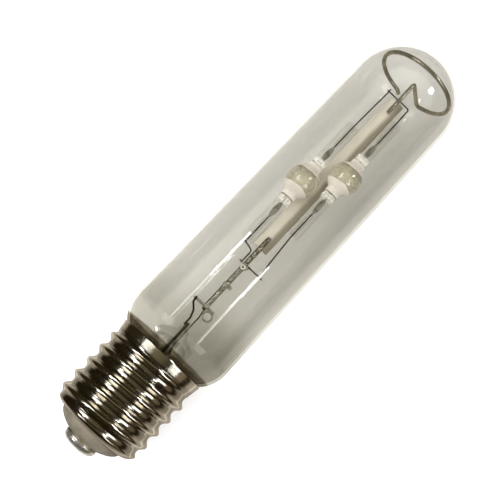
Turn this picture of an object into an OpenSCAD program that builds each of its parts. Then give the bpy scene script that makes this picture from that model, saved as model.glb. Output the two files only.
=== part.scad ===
// Tubular metal halide lamp with an E40 screw cap and two arc tubes side by side.
// The lamp lies on its side: X runs from the cap contact to the dome, Z is up,
// and the bulb rests on Z = 0. Lengths along the lamp are counted from the contact.

/* [Outer bulb] */
// Overall length from the contact to the tip of the dome
overall_l = 212; // [208:1:220]
// Outside diameter of the tubular bulb
bulb_d = 46; // [45:0.5:48]
// Thickness of the bulb glass
glass_wall = 1.05; // [0.8:0.05:1.3]
// Radius of the shoulder where the bulb narrows to the neck
shoulder_r = 15; // [14:0.5:17]
// Play between the shoulder and the inner edge of the cap's skirt
skirt_gap = 0.24; // [0.16:0.04:0.6]
// Outside radius of the neck inside the cap
neck_r = 16.5; // [16:0.1:16.6]
// Distance from the contact to the seal of neck and stem
seal_l = 22; // [20:0.5:24]

/* [Screw cap] */
// Diameter over the crests of the rolled thread
crest_d = 39.3; // [39.1:0.1:39.5]
// Depth of the rolled thread
thread_depth = 1.85; // [1.5:0.05:2]
// Pitch of the thread
thread_pitch = 6.35; // [6.2:0.05:6.5]
// How narrow the crests are beside the roots
crest_form = 1.5; // [1:0.1:2]
// Thickness of the shell metal
shell_wall = 0.45; // [0.35:0.05:0.6]
// Distance from the contact to the inner edge of the shell
shell_rim_l = 8.7; // [8.5:0.1:9]
// Radius of the hole at that edge
shell_rim_r = 14; // [13.8:0.1:14.4]
// Distance from the contact to the first full crest
first_crest_l = 13.9; // [13.7:0.1:14.2]
// Distance from the contact to where the thread runs out
thread_end_l = 42; // [41:0.5:43]
// Distance from the contact to the open edge of the skirt
skirt_end_l = 46.2; // [45.8:0.1:46.3]
// Skirt radius beside the thread
skirt_r0 = 18.4; // [18.2:0.1:18.6]
// Skirt radius at its open edge
skirt_r1 = 19.1; // [19:0.1:19.3]
// Distance from the skirt's edge back to the cement
cement_depth = 18.2; // [16:0.1:19]
// Length of the cement ring
cement_len = 15; // [10:0.5:15.5]

/* [Cap contact] */
// Radius of the solder dome and of the plate under it
contact_r = 7.1; // [6.8:0.1:7.4]
// Height of the solder dome
contact_h = 3.2; // [2.8:0.1:3.5]
// Radius of the flat spot at the tip of the contact
contact_flat_r = 2.2; // [2:0.1:2.6]
// Thickness of the contact plate
plate_t = 0.7; // [0.5:0.1:0.9]
// Radius of the insulator flange inside the shell
flange_r = 16; // [15.5:0.1:16.5]
// Thickness of that flange
flange_t = 2.2; // [1.8:0.1:2.6]

/* [Stem] */
// Outside radius of the stem tube
stem_r = 8.3; // [8:0.1:8.8]
// Thickness of the stem glass
stem_wall = 1.1; // [0.9:0.1:1.3]
// Distance from the contact to the top of the straight stem tube
stem_tube_l = 53.5; // [52.5:0.5:54]
// Distance from the contact to the top of the press
press_top_l = 59.4; // [59:0.1:59.8]
// Width of the press
press_w = 13; // [12.5:0.5:14]
// Thickness of the press
press_t = 4.2; // [3.8:0.1:4.6]
// Half the distance between the two wires in the press
press_wire_x = 4; // [3.8:0.1:4.2]
// Distance from the contact to the end of the thick wire
contact_wire_l = 61.3; // [61:0.1:62]
// Outside radius of the exhaust tube
exhaust_r = 2.4; // [2.2:0.1:2.6]
// Distance from the contact to the tip of the exhaust tube
exhaust_tip_l = 20; // [18:0.5:21]
// Height of the dome that closes the stem tube
stem_dome_h = 5.5; // [5:0.1:6]
// Distance from the contact to where the wires meet inside the press
press_joint_l = 58; // [57.5:0.1:59]

/* [Frame] */
// Turn of the whole inner frame about the lamp's axis
frame_roll = 10.9; // [0:0.1:20]
// Sideways place of the frame from the lamp's axis
frame_y = 0.3; // [0:0.1:0.6]
// Diameter of the frame rod
rod_d = 2.2; // [2:0.1:2.3]
// Distance from the contact to the lower end of the rod
rod_l0 = 69.3; // [68.5:0.1:70]
// Length of rod that lies on the strip
rod_lap = 5.5; // [4:0.5:9]
// Width of the frame strip
strip_w = 7; // [6.4:0.2:7.2]
// Thickness of the frame strip
strip_t = 0.5; // [0.4:0.05:0.6]
// Radius that the strip is curved to
strip_bend_r = 5; // [4.5:0.5:8]
// Distance from the contact to the lower end of the strip
strip_at = 102.5; // [102:0.5:104]
// Diameter of the ring support wire
ring_wire_d = 1.75; // [1.6:0.05:1.9]
// Distance from the dome's centre to the middle of the ring
ring_lift = 10.85; // [10:0.05:11.2]
// Lean of the ring towards the base on the side of the arc tubes
ring_lean = 3.5; // [0:0.5:5]
// Length of the ring wire that lies on the strip
ring_lap = 7.4; // [6:0.1:9]
// Play between the ring and the glass
ring_gap = 0.1; // [0.05:0.05:0.3]
// Angle of the spoke from the back of the ring
spoke_a = 24; // [20:1:30]
// Angle of the ring's loose end from the back of the ring
ring_end_a = 14; // [12:1:18]

/* [Arc tubes] */
// Radius of the discharge bulb
ball_r = 6.6; // [6.3:0.1:6.7]
// Half length of the ellipsoid of the discharge bulb
ball_half_l = 7.2; // [6.9:0.1:7.6]
// Thickness of the quartz
quartz_wall = 1; // [0.8:0.1:1.2]
// Half the length of an arc tube over its seals
tube_half = 32; // [31.5:0.5:32.5]
// Width of a pinch seal
seal_w = 5.8; // [5.4:0.2:6]
// Thickness of a pinch seal
seal_t = 3.4; // [3:0.1:3.8]
// Distance from the contact to the middle of arc tube a
tube_a_at = 132.6; // [132.2:0.1:133.2]
// Distance from the contact to the middle of arc tube b
tube_b_at = 145.7; // [145.3:0.1:146.3]
// Sideways place of arc tube a
tube_a_y = 6.5; // [6.4:0.1:6.8]
// Sideways place of arc tube b
tube_b_y = -5.3; // [-5.6:0.1:-5.2]
// Height of both arc tubes above the rod
tube_z = 4.9; // [4.7:0.1:5.5]
// Half the length of the clear window between the end coats
window_half_l = 3.8; // [3.5:0.1:4.2]
// Distance from an arc tube's middle to the outer edge of a coat
coat_end_l = 9; // [8.8:0.1:9.6]
// Thickness of an end coat
coat_t = 0.15; // [0.1:0.05:0.25]
// Distance from an arc tube's middle to the inner end of a foil
foil_l0 = 11.5; // [11.2:0.1:12]
// Length of a foil
foil_len = 8.3; // [7.5:0.1:9]
// Width of a foil
foil_w = 2.4; // [2:0.1:2.8]
// Thickness of a foil
foil_t = 0.12; // [0.1:0.02:0.2]
// Diameter of an electrode's shank
shank_d = 0.6; // [0.5:0.05:0.8]
// Distance from an arc tube's middle to an electrode's tip
tip_l = 3.4; // [3:0.1:3.8]
// Diameter over an electrode's coil
coil_d = 1.4; // [1.2:0.1:1.6]

/* [Wires] */
// Diameter of the wires of the arc tubes
wire_d = 0.6; // [0.5:0.05:0.7]
// Diameter of the wires through the press
lead_d = 0.8; // [0.7:0.05:0.9]
// Diameter of the wire to the centre contact
contact_wire_d = 1.3; // [1.1:0.1:1.4]
// Distance from the strip's lower end back to the lower cross wire
low_cross_gap = 8.6; // [8.2:0.1:9]
// Distance from the contact to the upper cross wire
top_cross_at = 189.6; // [189.2:0.1:190]
// Diameter of the insulating bead
bead_d = 2; // [1.8:0.1:2.2]
// Length of the insulating bead
bead_len = 2.8; // [2.4:0.1:3]
// Bend radius of the wires
bend_r = 1.2; // [1:0.1:1.5]

/* [Strap and getter] */
// Width of the strap that joins the rod and its wire
strap_w = 1.2; // [1:0.1:1.4]
// Thickness of the strap
strap_t = 0.3; // [0.25:0.05:0.4]
// Distance from the contact to the middle of the strap
strap_l = 70.7; // [70.5:0.1:71]
// Reach of the strap on the wire's side
strap_y1 = 6; // [5.8:0.1:6.4]
// Reach of the strap on the getter's side
strap_y0 = 4.2; // [4:0.1:4.6]
// Radius of the getter ring
getter_r = 1.9; // [1.7:0.1:2]
// Diameter of the getter ring's section
getter_d = 0.7; // [0.6:0.05:0.8]
// Distance from the contact to the clip on the rod
clip_l = 81.6; // [80:0.1:84]
// Length of that clip
clip_len = 1.6; // [1.2:0.1:2]
// Reach of the clip's tab from the rod's middle
clip_tab = 2.6; // [2.2:0.1:3]
// Distance from the contact to the wire eye on the rod
eye_l = 91.9; // [91:0.1:92.2]
// Radius of the wire eye
eye_r = 0.8; // [0.7:0.05:0.9]

/* [Hidden] */
$fn = 48;

// Play between glass and the metal sealed in it
seal_gap = 0.03;
// Play between pieces that are pushed or screwed together
fit_gap = 0.05;
// Overlap of a cutting shape past the surface that it cuts
past = 0.5;
bulb_r = bulb_d / 2;
dome_l = overall_l - bulb_r;
// The shoulder ends where its arc passes the skirt's inner edge with that play, to 0.01 mm
shoulder_drop = skirt_r1 - shell_wall - skirt_gap - (bulb_r - shoulder_r);
shoulder_rise = round(100 * sqrt(shoulder_r * shoulder_r - shoulder_drop * shoulder_drop)) / 100;
shoulder_l = skirt_end_l + shoulder_rise;
cement_l0 = skirt_end_l - cement_depth;
crest_r = crest_d / 2;
root_r = crest_r - thread_depth;
shell_rise = crest_r - shell_rim_r;
rod_r = rod_d / 2;
wire_r = wire_d / 2;
plate_l = contact_h;
insulator_l = plate_l + plate_t;
nominal_l = 212;
reach = (overall_l - rod_l0) / (nominal_l - rod_l0);
strip_l0 = stretched(strip_at);
rod_l1 = strip_l0 + rod_lap;
low_cross_l = strip_l0 - low_cross_gap;
low_cross_y = -8.8;
low_cross_len = 12.2;
contact_bend_l = 13.4;
top_cross_l = stretched(top_cross_at);
strip_l1 = top_cross_l - wire_r - 0.5;
ring_wire_l0 = strip_l1 - ring_lap;
ring_l = dome_l + ring_lift;
spoke_l = ring_l - 0.6;
tube_a_l = stretched(tube_a_at);
tube_b_l = stretched(tube_b_at);
tube_half_l = tube_half * reach;
ring_r = sqrt(pow(bulb_r - glass_wall - ring_gap - ring_wire_d / 2, 2) - pow(ring_lift + 1.05, 2));
strip_top_z = -rod_r;
low_cross_z = -rod_r - bead_d / 2;
top_cross_z = strip_top_z;
foil_l1 = foil_l0 + foil_len;
bore_r = 1.2;
bore_l0 = foil_l1 + 1.2;
skirt_rise = 0.8;
press_turn = 80;
press_angle = 90 + frame_roll + press_turn;
press_wire_y = press_wire_x * cos(press_turn);
press_wire_z = press_wire_x * sin(press_turn);

// Place of a piece above the rod's foot, which moves with the lamp's length
function stretched(l) = rod_l0 + (l - rod_l0) * reach;

// Points on an arc about (cx, cy), from angle a0 to a1 in n steps
function arc(cx, cy, r, a0, a1, n) =
    [for (i = [0:n]) let (a = a0 + (a1 - a0) * i / n) [cx + r * cos(a), cy + r * sin(a)]];
function unit(v) = v / norm(v);

// Round bend that replaces the corner b of the path a, b, c
function bend(a, b, c, r, n = 5) =
    let (
        u = unit(a - b), w = unit(c - b),
        half = acos(u * w) / 2,
        p0 = b + u * r / tan(half),
        m = b + unit(u + w) * r / sin(half),
        e0 = unit(p0 - m),
        q1 = b + w * r / tan(half) - m,
        e1 = unit(q1 - e0 * (q1 * e0)),
        sweep = 180 - 2 * half
    )
    [for (i = [0:n]) m + r * (cos(sweep * i / n) * e0 + sin(sweep * i / n) * e1)];

// A path of straight runs with round bends at its inner points
function rounded(p, r) =
    let (last = len(p) - 1)
    concat([p[0]], [for (i = [1:last - 1]) for (q = bend(p[i - 1], p[i], p[i + 1], r)) q], [p[last]]);

function tangent(p, i) =
    let (last = len(p) - 1, a = p[max(i - 1, 0)], b = p[i], c = p[min(i + 1, last)])
    i == 0 ? unit(c - b) : i == last ? unit(b - a) : unit(unit(b - a) + unit(c - b));
function turned(n, t) = unit(n - t * (n * t));

// Normals carried along a path so that the wire doesn't twist
function normals(p, i, n) =
    i == len(p) ? [] : let (m = turned(n, tangent(p, i))) concat([m], normals(p, i + 1, m));

// Round wire of diameter d along the path p
module wire(p, d, sides = 10) {
    t0 = tangent(p, 0);
    seed = abs(t0[2]) > 0.8 ? [0, 1, 0] : [0, 0, 1];
    n = normals(p, 0, turned(seed, t0));
    count = len(p);
    points = [
        for (i = [0:count - 1]) let (b = cross(tangent(p, i), n[i]))
            for (j = [0:sides - 1])
                p[i] + d / 2 * (cos(360 * j / sides) * n[i] + sin(360 * j / sides) * b)
    ];
    side_faces = [
        for (i = [0:count - 2]) for (j = [0:sides - 1]) let (k = (j + 1) % sides)
            [i * sides + j, (i + 1) * sides + j, (i + 1) * sides + k, i * sides + k]
    ];
    low_cap = [for (j = [0:sides - 1]) j];
    top_cap = [for (j = [sides - 1:-1:0]) (count - 1) * sides + j];
    polyhedron(points, concat(side_faces, [low_cap, top_cap]), convexity = 6);
}

// Turned shapes: their Z axis becomes the lamp's axis, counted from the contact
module turned_on_axis() {
    translate([-overall_l / 2, 0, bulb_r]) rotate([0, 90, 0]) children();
}

// The inner frame: X along the lamp, Y sideways, Z towards the arc tubes
module in_frame() {
    translate([-overall_l / 2, 0, bulb_r]) rotate([frame_roll, 0, 0]) children();
}

// Outline of the bulb, from the tip of the dome to the seal, moved in by a wall
function bulb_outline(inset) =
    let (
        neck = neck_r - inset,
        low = shoulder_r - inset,
        drop = acos((neck - (bulb_r - shoulder_r)) / low)
    )
    concat(
        arc(0, dome_l, bulb_r - inset, 90, 0, 24),
        arc(bulb_r - shoulder_r, shoulder_l, low, 0, -drop, 12),
        [[neck, seal_l]]
    );

module outer_bulb() {
    outside = bulb_outline(0);
    inside = bulb_outline(glass_wall);
    color([0.86, 0.88, 0.86, 0.3])
        turned_on_axis()
            rotate_extrude($fn = 96)
                polygon(concat(outside, [for (i = [len(inside) - 1:-1:0]) inside[i]]));
}

// Outline of the flare, the stem tube and its dome, moved in by a wall
function stem_outline(inset) =
    let (flare_r = neck_r - glass_wall - fit_gap - stem_r)
    concat(
        [[neck_r, seal_l - inset]],
        arc(stem_r + flare_r, seal_l + flare_r, flare_r + inset, 270, 180, 10),
        [for (q = arc(0, 0, 1, 0, 90, 12))
            [(stem_r - inset) * q[0], stem_tube_l + (stem_dome_h - inset) * q[1]]]
    );

module press_outline(w, t) {
    square([w - t, t], center = true);
    for (side = [-1, 1]) translate([side * (w - t) / 2, 0]) circle(d = t);
}

// Holes that the wires fill in the press, the upper pair and the lower pair
module press_holes() {
    for (side = [1, -1]) rotate([0, 0, press_angle]) translate([side * press_wire_x, 0, 0]) {
        low_d = side > 0 ? contact_wire_d : lead_d;
        top_d = side > 0 ? contact_wire_d : wire_d;
        translate([0, 0, seal_l]) cylinder(h = press_joint_l - seal_l, d = low_d + 2 * seal_gap, $fn = 20);
        translate([0, 0, press_joint_l - past]) cylinder(h = 10, d = top_d + 2 * seal_gap, $fn = 20);
    }
}

module stem() {
    outside = stem_outline(0);
    inside = stem_outline(stem_wall);
    press_l0 = stem_tube_l + 1;
    tip = exhaust_tip_l + exhaust_r;
    color([0.84, 0.87, 0.85, 0.35])
        turned_on_axis() difference() {
            union() {
                rotate_extrude() polygon(concat(outside, [for (i = [len(inside) - 1:-1:0]) inside[i]]));
                translate([0, 0, press_l0]) rotate([0, 0, press_angle])
                    linear_extrude(press_top_l - press_l0) press_outline(press_w, press_t);
                translate([0, 0, tip]) cylinder(h = press_l0 - tip + 1, r = exhaust_r);
                translate([0, 0, tip]) sphere(r = exhaust_r);
            }
            translate([0, 0, tip]) cylinder(h = press_l0 - tip - 1, r = exhaust_r - stem_wall);
            press_holes();
        }
}

// Angle of the thread's crest about the axis at the distance l from the contact
function crest_a(l) = 90 + frame_roll + 360 * (l - first_crest_l) / thread_pitch;

// Height of the thread there, which runs out before the skirt
function thread_h(l) = thread_depth * min(1, max(0, (thread_end_l + 0.5 - l) / 3));

// Radius of the plain skirt, which rises from the thread's root
function skirt_r(l) =
    l < thread_end_l
        ? root_r + (skirt_r0 - root_r) * max(0, l - thread_end_l + skirt_rise) / skirt_rise
        : skirt_r0 + (skirt_r1 - skirt_r0) * (l - thread_end_l) / (skirt_end_l - thread_end_l);

// Radius of the rounded end that the thread grows out of, moved in by a wall
function end_r(l, inset) =
    l > shell_rim_l + shell_rise ? crest_r
        : shell_rim_r + sqrt(max(0, pow(shell_rise - inset, 2) - pow(shell_rim_l + shell_rise - l, 2)));

// Radius of the shell at the distance l and the angle a, moved in by a wall
function shell_r(l, a, inset) =
    min(end_r(l, inset),
        max(skirt_r(l), root_r + thread_h(l) * pow((1 + cos(a - crest_a(l))) / 2, crest_form)) - inset);

// Distances of the shell's rings: close together on the rounded end, then even
function shell_rings(inset, n_end, step) =
    let (
        l0 = shell_rim_l + shell_rise,
        l1 = l0 - (shell_rise - inset) * sin(20),
        count = round((thread_end_l - l1) / step)
    )
    concat(
        [for (i = [0:n_end - 1]) l0 - (shell_rise - inset) * sin(90 - 70 * i / n_end)],
        [for (i = [0:count]) l1 + (thread_end_l - l1) * i / count],
        [skirt_end_l]
    );

// The shell as one closed skin: rings up its outside and back down its inside
module cap_shell() {
    sides = 40;
    outside = [for (l = shell_rings(0, 8, 0.6)) [l, 0]];
    inner = shell_rings(shell_wall, 6, 0.8);
    rings = concat(outside, [for (i = [len(inner) - 1:-1:0]) [inner[i], shell_wall]]);
    count = len(rings);
    points = [
        for (q = rings) for (j = [0:sides - 1]) let (a = 360 * j / sides, r = shell_r(q[0], a, q[1]))
            [r * cos(a), r * sin(a), q[0]]
    ];
    faces = [
        for (i = [0:count - 1]) for (j = [0:sides - 1])
            let (m = (i + 1) % count, k = (j + 1) % sides)
                for (f = [[i * sides + j, m * sides + j, m * sides + k],
                    [i * sides + j, m * sides + k, i * sides + k]]) f
    ];
    color([0.74, 0.72, 0.66]) turned_on_axis() polyhedron(points, faces, convexity = 10);
}

// The insulator's nose, the groove for the shell's edge and the flange behind it
module cap_insulator() {
    nose = shell_rim_l - insulator_l;
    neck_in = shell_rim_r - 2 * fit_gap;
    seat_r = shell_rise - shell_wall - 2 * fit_gap;
    seat = arc(shell_rim_r, shell_rim_l + shell_rise, seat_r, -90, -acos((flange_r - shell_rim_r) / seat_r), 6);
    color([0.62, 0.59, 0.54])
        turned_on_axis() difference() {
            rotate_extrude()
                polygon(concat(
                    [[0, insulator_l]],
                    [for (i = [0:8]) let (k = i / 8)
                        [contact_r + (neck_in - contact_r) * pow(sin(90 * k), 0.8), insulator_l + nose * k]],
                    [[neck_in, seat[0][1]]],
                    seat,
                    [[flange_r, seat[6][1] + flange_t], [0, seat[6][1] + flange_t]]
                ));
            translate([0, 0, insulator_l - past])
                cylinder(h = flange_r, r = contact_wire_d / 2 + fit_gap);
        }
}

module contact_plate() {
    color([0.7, 0.62, 0.42])
        turned_on_axis() difference() {
            translate([0, 0, plate_l]) cylinder(h = plate_t, r = contact_r - 0.15);
            translate([0, 0, plate_l - past])
                cylinder(h = plate_t + 2 * past, r = contact_wire_d / 2 + fit_gap);
        }
}

// The dome is a flat spot and a round shoulder that stands nearly square on the plate
module contact_solder() {
    rise = contact_r - contact_flat_r;
    color([0.8, 0.8, 0.79])
        turned_on_axis()
            rotate_extrude()
                polygon(concat(
                    [[0, 0]],
                    [for (i = [0:10]) let (a = 90 * i / 10)
                        [contact_flat_r + rise * pow(sin(a), 0.9), contact_h * (1 - pow(cos(a), 0.8))]],
                    [[0, contact_h]]
                ));
}

module cap_cement() {
    color([0.86, 0.83, 0.76])
        turned_on_axis() difference() {
            translate([0, 0, cement_l0]) cylinder(h = cement_len, r = root_r - shell_wall - 3 * fit_gap);
            translate([0, 0, cement_l0 - past]) cylinder(h = cement_len + 2 * past, r = neck_r + fit_gap);
        }
}

// Wires through the press, with Y and Z counted in the inner frame
module contact_wire() {
    color([0.25, 0.22, 0.2])
        in_frame()
            wire(rounded([
                [contact_wire_l, press_wire_y, press_wire_z], [stem_tube_l - 1, press_wire_y, press_wire_z],
                [stem_tube_l - 6, press_wire_y, 3.9], [exhaust_tip_l - 2, press_wire_y, 3.9], [contact_bend_l, 0, 0], [plate_l, 0, 0]
            ], bend_r), contact_wire_d);
}

module shell_wire() {
    seat_r = root_r - shell_wall - lead_d / 2 - fit_gap;
    color([0.6, 0.58, 0.52])
        in_frame()
            wire(rounded([
                [press_joint_l, -press_wire_y, -press_wire_z], [stem_tube_l - 1, -press_wire_y, -press_wire_z],
                [stem_tube_l - 6, -2, -4],
                [seal_l + 2, -2, -4], [seal_l - 4, -8, -10], [seal_l - 7, -seat_r * 0.6, -seat_r * 0.8],
                [first_crest_l - 0.5, -seat_r * 0.6, -seat_r * 0.8]
            ], bend_r), lead_d);
}

module strap_wire() {
    front = strap_t / 2 + lead_d / 2;
    beside = press_wire_y + (contact_wire_d + lead_d) / 2;
    color([0.3, 0.28, 0.25])
        in_frame()
            wire(rounded([
                [press_top_l + 0.3, beside, press_wire_z], [contact_wire_l + 2, beside, press_wire_z],
                [press_top_l + 7, beside + 1.2, 3],
                [strap_l - 1.8, strap_y1 - 0.8, front], [strap_l + strap_w / 2, strap_y1 - 0.5, front]
            ], bend_r), lead_d);
}

module return_wire() {
    back = low_cross_z - wire_d;
    side = -(bead_len / 2 + wire_r + 0.3) + frame_y;
    color([0.4, 0.37, 0.33])
        in_frame()
            wire(rounded([
                [press_joint_l, -press_wire_y, -press_wire_z], [press_top_l + 3.5, -press_wire_y, -press_wire_z],
                [press_top_l + 7, -press_wire_y, back - 0.5],
                [rod_l0 + 2, frame_y, back], [low_cross_l - 3.5, frame_y, back],
                [low_cross_l - 0.8, side, back], [low_cross_l + 0.8, side, back]
            ], bend_r * 0.6), wire_d);
}

// Strap bent over the rod, its profile seen along the lamp
module strap() {
    color([0.66, 0.65, 0.62])
        in_frame() translate([strap_l - strap_w / 2, frame_y, 0])
            rotate([90, 0, 90]) linear_extrude(strap_w) difference() {
                union() {
                    translate([-strap_y0, -strap_t / 2]) square([strap_y0 + strap_y1, strap_t]);
                    intersection() {
                        circle(r = rod_r + fit_gap + strap_t);
                        translate([-5, -strap_t / 2]) square([10, 5]);
                    }
                }
                circle(r = rod_r + fit_gap);
            }
}

module getter_ring() {
    stand = strap_t / 2 + getter_d / 2;
    color([0.5, 0.48, 0.45])
        in_frame() translate([strap_l - strap_w / 2 - getter_r, frame_y - strap_y0 + 1.1, stand])
            rotate_extrude() translate([getter_r, 0]) circle(d = getter_d, $fn = 20);
}

// Clip rolled round the rod, its tab seen along the lamp
module rod_clip() {
    r = rod_r + fit_gap;
    color([0.62, 0.6, 0.55])
        in_frame() translate([clip_l, frame_y, 0]) rotate([90, 0, 90]) linear_extrude(clip_len) difference() {
            union() {
                circle(r = r + strap_t);
                translate([-clip_tab, -strap_t]) square([clip_tab, 2 * strap_t]);
            }
            circle(r = r);
        }
}

// Loop at the end of a wire, on top of the rod
module wire_eye() {
    color([0.7, 0.68, 0.62])
        in_frame() translate([eye_l, frame_y, rod_r + wire_r])
            rotate_extrude() translate([eye_r, 0]) circle(d = wire_d, $fn = 20);
}

module frame_rod() {
    color([0.42, 0.4, 0.36])
        in_frame() translate([rod_l0, frame_y, 0]) rotate([0, 90, 0]) cylinder(h = rod_l1 - rod_l0, d = rod_d);
}

// Strip with a curved section, its crown under the rod and the ring wire
module frame_strip() {
    color([0.72, 0.7, 0.63])
        in_frame() translate([strip_l0, frame_y, strip_top_z - strip_bend_r])
            rotate([90, 0, 90]) linear_extrude(strip_l1 - strip_l0) intersection() {
                difference() {
                    circle(r = strip_bend_r);
                    circle(r = strip_bend_r - strip_t);
                }
                translate([-strip_w / 2, 0]) square([strip_w, strip_bend_r + past]);
            }
}

// Point of the ring at the angle a, counted from the sideways direction
function ring_point(a) = [ring_l - ring_r * sin(a) * tan(ring_lean), ring_r * cos(a), ring_r * sin(a)];

// Ring wire: a straight run on the strip, a spoke to the back, and the ring
module ring_support() {
    start_a = 270 - spoke_a;
    end_a = 270 + ring_end_a - 360;
    lead_in = 14;
    run_z = strip_top_z + ring_wire_d / 2;
    tail = ring_point(end_a) + [-1.6, -1.8, 0.6];
    color([0.43, 0.39, 0.34])
        in_frame()
            wire(concat(
                rounded([[ring_wire_l0, frame_y, run_z], [spoke_l, frame_y, run_z],
                    ring_point(start_a), ring_point(start_a - lead_in)], 1.5),
                [for (i = [1:40]) ring_point(start_a - lead_in + (end_a + lead_in - start_a) * i / 42)],
                rounded([ring_point(end_a + 8), ring_point(end_a), tail], 1)
            ), ring_wire_d, 12);
}

module low_cross_wire() {
    color([0.2, 0.18, 0.16])
        in_frame() translate([low_cross_l, low_cross_y, low_cross_z])
            rotate([-90, 0, 0]) cylinder(h = low_cross_len, d = wire_d, $fn = 20);
}

module insulating_bead() {
    color([0.82, 0.84, 0.8, 0.6])
        in_frame() translate([low_cross_l, frame_y - bead_len / 2, low_cross_z])
            rotate([-90, 0, 0]) difference() {
                cylinder(h = bead_len, d = bead_d, $fn = 32);
                translate([0, 0, -past]) cylinder(h = bead_len + 2 * past, d = wire_d + 2 * seal_gap, $fn = 20);
            }
}

// Runs beside the rod, then bends up to pass one wire's width from the lead of arc tube a
module link_wire() {
    side = frame_y + rod_r + wire_r + 0.5;
    z0 = low_cross_z + wire_d;
    l1 = tube_a_l - tube_half_l - 1;
    reach = norm([tube_a_y - side, tube_z - z0]);
    rise_a = atan2(tube_z - z0, tube_a_y - side) - asin(wire_d / reach);
    len = reach + 0.6;
    color([0.25, 0.2, 0.18])
        in_frame()
            wire(rounded([[low_cross_l - 0.8, side, z0], [l1, side, z0],
                [l1, side + len * cos(rise_a), z0 + len * sin(rise_a)]], bend_r), wire_d);
}

// One side of an arc tube's outline: half ellipsoid that runs out into the seal
function ball_outline(r, half_l, n = 14) =
    [for (i = [0:n]) let (a = 52 * i / n) [r * cos(a), half_l * sin(a)]];

module tube_body_half() {
    edge = 52;
    r1 = ball_r * cos(edge);
    l1 = ball_half_l * sin(edge);
    rotate_extrude()
        polygon(concat(
            [[0, 0]],
            ball_outline(ball_r, ball_half_l),
            [for (i = [1:8]) let (k = i / 8)
                [seal_t / 2 + (r1 - seal_t / 2) * pow(1 - k, 1.7), l1 + (coat_end_l - l1) * k]],
            [[0, coat_end_l]]
        ));
    translate([0, 0, ball_half_l]) linear_extrude(tube_half_l - ball_half_l) press_outline(seal_w, seal_t);
}

module tube_voids_half() {
    rotate_extrude()
        polygon(concat([[0, 0]], arc(0, 0, 1, 0, 90, 12) *
            [[ball_r - quartz_wall, 0], [0, ball_half_l - quartz_wall]]));
    cylinder(h = foil_l0 + past, d = shank_d + 2 * seal_gap, $fn = 20);
    translate([-foil_w / 2 - seal_gap, -foil_t / 2 - seal_gap, foil_l0])
        cube([foil_w + 2 * seal_gap, foil_t + 2 * seal_gap, foil_len]);
    translate([0, 0, foil_l1 - seal_gap]) cylinder(h = bore_l0 - foil_l1 + seal_gap, r1 = wire_r + seal_gap, r2 = bore_r);
    translate([0, 0, bore_l0]) cylinder(h = tube_half_l - bore_l0 + past, r = bore_r);
}

// Places what is made along Z about an arc tube's middle, both halves
module both_halves() {
    for (side = [0, 180]) rotate([0, side, 0]) children();
}

module at_tube(l, y) {
    in_frame() translate([l, y, tube_z]) rotate([0, 90, 0]) rotate([0, 0, 90]) children();
}

module arc_tube() {
    difference() {
        both_halves() tube_body_half();
        both_halves() tube_voids_half();
    }
}

module end_coats() {
    difference() {
        both_halves() rotate_extrude()
            polygon(concat(
                [for (i = [0:12]) let (k = i / 12, l = window_half_l + (coat_end_l - window_half_l) * k)
                    [coat_r(l) + coat_t + seal_gap, l]],
                [[0.1, coat_end_l], [0.1, window_half_l]]
            ));
        both_halves() rotate_extrude()
            polygon(concat([[0, 0]],
                [for (i = [0:24]) let (l = (coat_end_l + past) * i / 24) [coat_r(l) + seal_gap, l]],
                [[0, coat_end_l + past]]));
        both_halves() translate([0, 0, ball_half_l - 3])
            linear_extrude(tube_half_l) press_outline(seal_w + 2 * seal_gap, seal_t + 2 * seal_gap);
    }
}

// Radius of an arc tube's round part at the distance l from its middle
function coat_r(l) =
    let (edge = 52, r1 = ball_r * cos(edge), l1 = ball_half_l * sin(edge))
    l < l1 ? ball_r * sqrt(1 - pow(l / ball_half_l, 2))
        : seal_t / 2 + (r1 - seal_t / 2) * pow(max(0, 1 - (l - l1) / (coat_end_l - l1)), 1.7);

module foils() {
    both_halves() translate([-foil_w / 2, -foil_t / 2, foil_l0 + seal_gap])
        cube([foil_w, foil_t, foil_len - 2 * seal_gap]);
}

module electrodes() {
    turns = 5;
    pitch = coil_d / 4;
    both_halves() {
        translate([0, 0, tip_l]) cylinder(h = foil_l0 + seal_gap - tip_l, d = shank_d, $fn = 20);
        translate([0, 0, tip_l + 0.6]) rotate_extrude($fn = 24)
            polygon(concat([[0, 0]],
                [for (i = [0:turns * 4]) [coil_d / 2 - pitch / 4 * (1 - cos(90 * i)), pitch * i / 4]],
                [[0, pitch * turns]]));
    }
}

module arc_tube_a() { color([0.78, 0.77, 0.66, 0.5]) at_tube(tube_a_l, tube_a_y) arc_tube(); }
module arc_tube_b() { color([0.78, 0.77, 0.66, 0.5]) at_tube(tube_b_l, tube_b_y) arc_tube(); }
module end_coats_a() { color([0.9, 0.87, 0.82]) at_tube(tube_a_l, tube_a_y) end_coats(); }
module end_coats_b() { color([0.9, 0.87, 0.82]) at_tube(tube_b_l, tube_b_y) end_coats(); }
module foils_a() { color([0.3, 0.3, 0.31]) at_tube(tube_a_l, tube_a_y) foils(); }
module foils_b() { color([0.3, 0.3, 0.31]) at_tube(tube_b_l, tube_b_y) foils(); }
module electrodes_a() { color([0.35, 0.34, 0.33]) at_tube(tube_a_l, tube_a_y) electrodes(); }
module electrodes_b() { color([0.35, 0.34, 0.33]) at_tube(tube_b_l, tube_b_y) electrodes(); }

// Leads of the arc tubes, from a foil's outer end to the cross wires
module base_lead_a() {
    color([0.2, 0.18, 0.16])
        in_frame() translate([tube_a_l - tube_half_l - 1.8, tube_a_y, tube_z])
            rotate([0, 90, 0]) cylinder(h = tube_half_l + 1.8 - foil_l1, d = wire_d, $fn = 20);
}

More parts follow.
